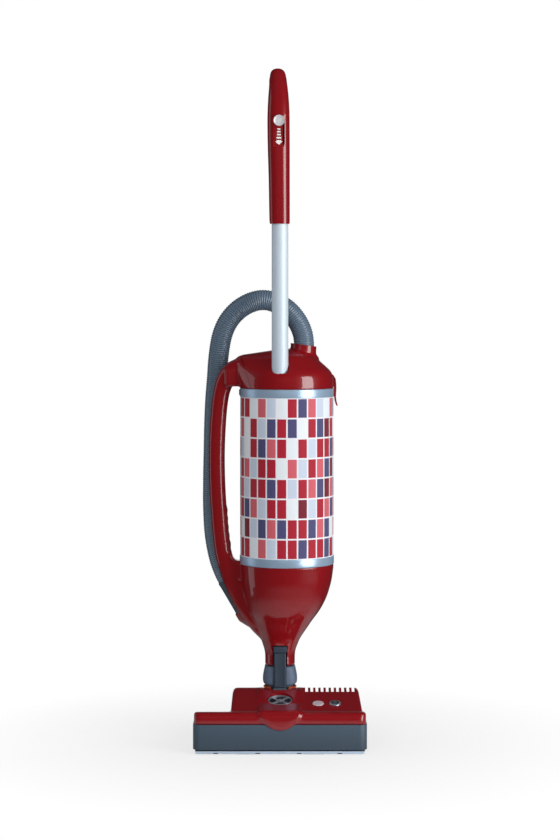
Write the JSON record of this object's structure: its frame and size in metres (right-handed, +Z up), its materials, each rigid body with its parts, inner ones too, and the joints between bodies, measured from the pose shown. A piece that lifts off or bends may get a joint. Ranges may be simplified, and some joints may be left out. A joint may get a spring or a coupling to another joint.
{
  "type": "upright vacuum cleaner",
  "caption": "Upright vacuum cleaner with a wide power head, swivelling neck, carry handle, round filter housing, external ribbed hose and a tall grip handle.",
  "frame": {"origin": "on the floor, on the underside of the head's rear glide strip, straight under the neck's swivel axis", "axes": "+X to the machine's left as seen from behind it, which is to the right in a front view; +Y towards the user, behind the machine; +Z up"},
  "size_m": [0.31, 0.2411, 1.2289],
  "materials": {
    "red_gloss": "high-gloss metallic red moulded plastic",
    "slate_plastic": "slate grey moulded plastic with a fine satin grain",
    "bumper_rubber": "slate grey soft bumper",
    "hose_plastic": "slate grey ribbed hose with a dull sheen",
    "silver_plastic": "silver lacquer on plastic",
    "silver_ring": "mirror-like silver plating on plastic",
    "tube_metal": "blue-silver anodised tube, satin",
    "orange_plastic": "plain orange plastic",
    "pale_plastic": "pale blue-grey plastic strip",
    "white_plastic": "white plastic",
    "grey_plastic": "grey plastic, hidden inside",
    "black_plastic": "black moulded plastic",
    "steel": "plain turned steel",
    "motor_steel": "dark painted steel can",
    "fan_metal": "pressed aluminium",
    "rubber_black": "black rubber",
    "wheel_rubber": "dark grey soft tread",
    "bristle": "stiff dark nylon tufts",
    "lamp_lens": "silver-pink lens",
    "circuit_board": "green circuit board",
    "sleeve_fabric": "printed fleece sleeve with a mosaic of rectangular tiles",
    "bag_paper": "brown filter paper",
    "filter_fleece": "pale blue filter fleece",
    "grip_rubber": "soft black grip pad"
  },
  "bodies": {
    "head": {"sole_plate": "black_plastic", "glide_strips": "white_plastic", "bumper": "bumper_rubber", "lip_strip": "pale_plastic", "head_cover": "red_gloss", "brush_tunnel": "grey_plastic", "suction_elbow": "grey_plastic", "brush_motor": "motor_steel", "drive_belt": "rubber_black", "brush_bearings": "grey_plastic", "axle_pins": "steel", "status_lamp": "lamp_lens", "control_board": "circuit_board", "sole_screws": "steel"},
    "brush": {"brush_core": "grey_plastic", "brush_bristles": "bristle"},
    "motor_pulley": {"motor_pulley": "steel"},
    "rear_wheel_left": {"rear_wheel_left": "wheel_rubber"},
    "rear_wheel_right": {"rear_wheel_right": "wheel_rubber"},
    "roller_carriage": {"roller_carriage": "grey_plastic"},
    "front_roller_left": {"front_roller_left": "grey_plastic"},
    "front_roller_right": {"front_roller_right": "grey_plastic"},
    "height_dial": {"height_dial": "silver_plastic"},
    "brush_button": {"brush_button": "silver_plastic"},
    "release_pedal": {"release_pedal": "slate_plastic"},
    "neck": {"tilt_barrel": "slate_plastic", "swivel_ring": "orange_plastic"},
    "body": {"neck_collar": "slate_plastic", "neck_connector": "slate_plastic", "body_shell": "red_gloss", "bag_chamber": "white_plastic", "filter_sleeve": "sleeve_fabric", "ring_bottom": "silver_ring", "ring_top": "silver_ring", "filter_bag": "bag_paper", "bag_holder": "grey_plastic", "premotor_filter": "filter_fleece", "motor_can": "motor_steel", "motor_seal": "rubber_black", "hose_inlet": "red_gloss", "hose_cuff": "slate_plastic", "suction_hose": "hose_plastic", "cord_inlet": "rubber_black", "cord_hook_lower": "slate_plastic", "hinge_knuckles": "slate_plastic"},
    "neck_button": {"neck_button": "slate_plastic"},
    "fan": {"fan_rotor": "fan_metal"},
    "lid": {"lid_shell": "red_gloss", "lid_seal": "rubber_black", "hinge_pin": "steel", "hose_port": "red_gloss", "handle_tube": "tube_metal", "grip": "red_gloss", "grip_pad": "grip_rubber", "hook_boss": "slate_plastic", "latch_bracket": "red_gloss"},
    "power_slider": {"power_slider": "silver_plastic"},
    "cord_hook_upper": {"cord_hook_upper": "slate_plastic"},
    "lid_latch": {"lid_latch": "red_gloss"}
  },
  "joints": [
    {"name": "neck_tilt", "type": "hinge", "parent": "head", "child": "neck", "pos_m": [0, 0.01, 0.07], "axis": [-1, 0, 0], "range_deg": [0, 80]},
    {"name": "neck_swivel", "type": "hinge", "parent": "neck", "child": "body", "pos_m": [0, 0, 0.1015], "axis": [0, 0, 1], "range_deg": [-90, 90]},
    {"name": "neck_button_press", "type": "slide", "parent": "body", "child": "neck_button", "axis": [0, 1, 0], "range_m": [0, 0.002], "stiffness_N_per_m": 800, "springref_m": -0.0005},
    {"name": "fan_spin", "type": "hinge", "parent": "body", "child": "fan", "pos_m": [0.01, 0, 0.26], "axis": [0, 0, 1], "continuous": true},
    {"name": "lid_hinge", "type": "hinge", "parent": "body", "child": "lid", "pos_m": [-0.071, 0, 0.705], "axis": [0, -1, 0], "range_deg": [0, 70], "deforming": ["suction_hose"]},
    {"name": "latch_pivot", "type": "hinge", "parent": "lid", "child": "lid_latch", "pos_m": [0.101, 0, 0.6634], "axis": [0, -1, 0], "range_deg": [0, 22], "stiffness_Nm_per_rad": 0.3, "springref_deg": -2.86},
    {"name": "power_slide", "type": "slide", "parent": "lid", "child": "power_slider", "axis": [0, 0, -1], "range_m": [0, 0.026]},
    {"name": "cord_hook_turn", "type": "hinge", "parent": "lid", "child": "cord_hook_upper", "pos_m": [-0.0005, -0.04, 0.969], "axis": [0, 1, 0], "range_deg": [0, 180]},
    {"name": "brush_spin", "type": "hinge", "parent": "head", "child": "brush", "pos_m": [0, -0.0873, 0.0275], "axis": [1, 0, 0], "continuous": true},
    {"name": "motor_pulley_spin", "type": "hinge", "parent": "head", "child": "motor_pulley", "pos_m": [0.13, -0.024, 0.062], "axis": [1, 0, 0], "continuous": true},
    {"name": "rear_wheel_left_roll", "type": "hinge", "parent": "head", "child": "rear_wheel_left", "pos_m": [-0.07, 0.038, 0.016], "axis": [1, 0, 0], "continuous": true},
    {"name": "rear_wheel_right_roll", "type": "hinge", "parent": "head", "child": "rear_wheel_right", "pos_m": [0.07, 0.038, 0.016], "axis": [1, 0, 0], "continuous": true},
    {"name": "height_dial_turn", "type": "hinge", "parent": "head", "child": "height_dial", "pos_m": [0, -0.065, 0.084], "axis": [0, -0.2079, 0.9781], "range_deg": [0, 270]},
    {"name": "roller_lift", "type": "slide", "parent": "head", "child": "roller_carriage", "axis": [0, 0, 1], "range_m": [0, 0.0041]},
    {"name": "front_roller_left_roll", "type": "hinge", "parent": "roller_carriage", "child": "front_roller_left", "pos_m": [-0.1, -0.1182, 0.0055], "axis": [1, 0, 0], "continuous": true},
    {"name": "front_roller_right_roll", "type": "hinge", "parent": "roller_carriage", "child": "front_roller_right", "pos_m": [0.1, -0.1182, 0.0055], "axis": [1, 0, 0], "continuous": true},
    {"name": "brush_button_press", "type": "slide", "parent": "head", "child": "brush_button", "axis": [0, 0.2622, -0.965], "range_m": [0, 0.002], "stiffness_N_per_m": 1000, "springref_m": -0.0005},
    {"name": "release_pedal_tilt", "type": "hinge", "parent": "head", "child": "release_pedal", "pos_m": [0, 0.042, 0.022], "axis": [-1, 0, 0], "range_deg": [0, 10], "stiffness_Nm_per_rad": 0.8, "springref_deg": -2.86}
  ],
  "couplings": [
    {"joint": "motor_pulley_spin", "follows": "brush_spin", "ratio": 2},
    {"joint": "roller_lift", "follows": "height_dial_turn", "m_per_rad": 0.00085}
  ]
}
